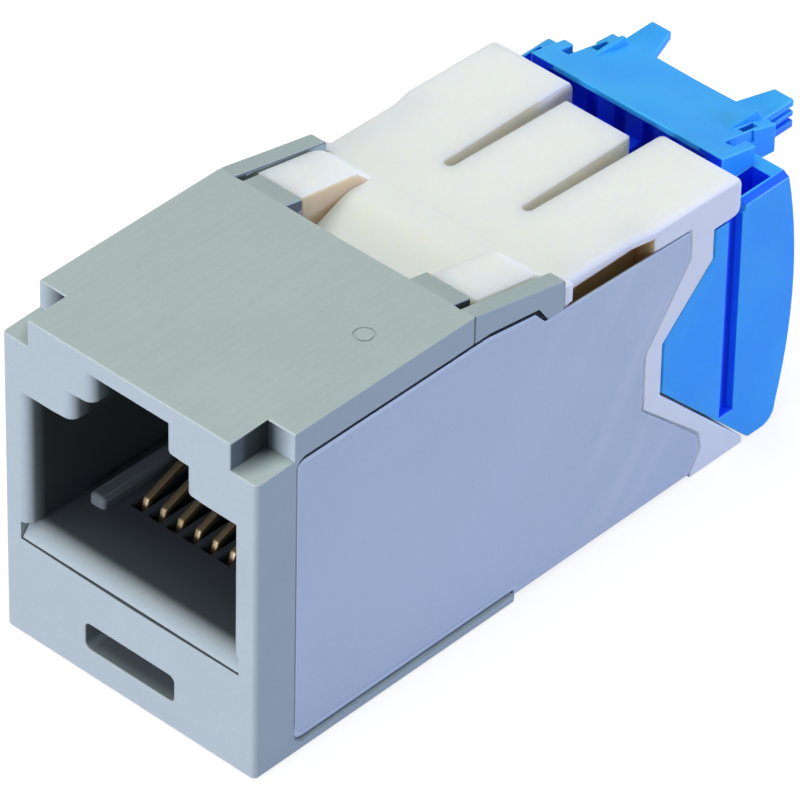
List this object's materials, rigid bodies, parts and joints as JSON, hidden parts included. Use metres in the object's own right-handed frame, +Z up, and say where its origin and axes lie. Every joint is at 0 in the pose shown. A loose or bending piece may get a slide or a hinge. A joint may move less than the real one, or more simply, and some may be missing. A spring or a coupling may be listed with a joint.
{
  "type": "ethernet jack",
  "caption": "Snap-in ethernet jack: grey shell with a stepped plug port and sprung gold contacts, foil-wrapped sides, white terminal housing and a blue pull-off wire cap.",
  "frame": {"origin": "middle of the jack's length and width, on its underside", "axes": "+Y back from the plug port to the wire cap, +Z up to the roof, +X to the right seen from the front"},
  "size_m": [0.0146, 0.037, 0.0172],
  "materials": {
    "grey_plastic": "satin moulded",
    "dark_plastic": "satin moulded",
    "white_plastic": "satin moulded",
    "blue_plastic": "moulded, slightly clear",
    "foil": "thin film, satin",
    "board": "solder mask",
    "gold_plate": "gold plated, bright",
    "tin_plate": "tin plated"
  },
  "bodies": {
    "jack": {"front_housing": "grey_plastic", "contact_sled": "grey_plastic", "contact_clamp": "dark_plastic", "circuit_board": "board", "rear_housing": "white_plastic", "shield_foil": "foil", "idc_blade_1": "tin_plate", "idc_blade_2": "tin_plate", "idc_blade_3": "tin_plate", "idc_blade_4": "tin_plate", "idc_blade_5": "tin_plate", "idc_blade_6": "tin_plate", "idc_blade_7": "tin_plate", "idc_blade_8": "tin_plate"},
    "cap": {"wire_cap": "blue_plastic"},
    "contact_1": {"plug_contact_1": "gold_plate"},
    "contact_2": {"plug_contact_2": "gold_plate"},
    "contact_3": {"plug_contact_3": "gold_plate"},
    "contact_4": {"plug_contact_4": "gold_plate"},
    "contact_5": {"plug_contact_5": "gold_plate"},
    "contact_6": {"plug_contact_6": "gold_plate"},
    "contact_7": {"plug_contact_7": "gold_plate"},
    "contact_8": {"plug_contact_8": "gold_plate"}
  },
  "joints": [
    {"name": "cap_pull", "type": "slide", "parent": "jack", "child": "cap", "axis": [0, 1, 0], "range_m": [0, 0.01]},
    {"name": "contact_1_spring", "type": "hinge", "parent": "jack", "child": "contact_1", "pos_m": [-0.00356, -0.0045, 0.0064], "axis": [1, 0, 0], "range_deg": [0, 8], "stiffness_Nm_per_rad": 0.04},
    {"name": "contact_2_spring", "type": "hinge", "parent": "jack", "child": "contact_2", "pos_m": [-0.00254, -0.0045, 0.0064], "axis": [1, 0, 0], "range_deg": [0, 8], "stiffness_Nm_per_rad": 0.04},
    {"name": "contact_3_spring", "type": "hinge", "parent": "jack", "child": "contact_3", "pos_m": [-0.00152, -0.0045, 0.0064], "axis": [1, 0, 0], "range_deg": [0, 8], "stiffness_Nm_per_rad": 0.04},
    {"name": "contact_4_spring", "type": "hinge", "parent": "jack", "child": "contact_4", "pos_m": [-0.00051, -0.0045, 0.0064], "axis": [1, 0, 0], "range_deg": [0, 8], "stiffness_Nm_per_rad": 0.04},
    {"name": "contact_5_spring", "type": "hinge", "parent": "jack", "child": "contact_5", "pos_m": [0.00051, -0.0045, 0.0064], "axis": [1, 0, 0], "range_deg": [0, 8], "stiffness_Nm_per_rad": 0.04},
    {"name": "contact_6_spring", "type": "hinge", "parent": "jack", "child": "contact_6", "pos_m": [0.00152, -0.0045, 0.0064], "axis": [1, 0, 0], "range_deg": [0, 8], "stiffness_Nm_per_rad": 0.04},
    {"name": "contact_7_spring", "type": "hinge", "parent": "jack", "child": "contact_7", "pos_m": [0.00254, -0.0045, 0.0064], "axis": [1, 0, 0], "range_deg": [0, 8], "stiffness_Nm_per_rad": 0.04},
    {"name": "contact_8_spring", "type": "hinge", "parent": "jack", "child": "contact_8", "pos_m": [0.00356, -0.0045, 0.0064], "axis": [1, 0, 0], "range_deg": [0, 8], "stiffness_Nm_per_rad": 0.04}
  ]
}
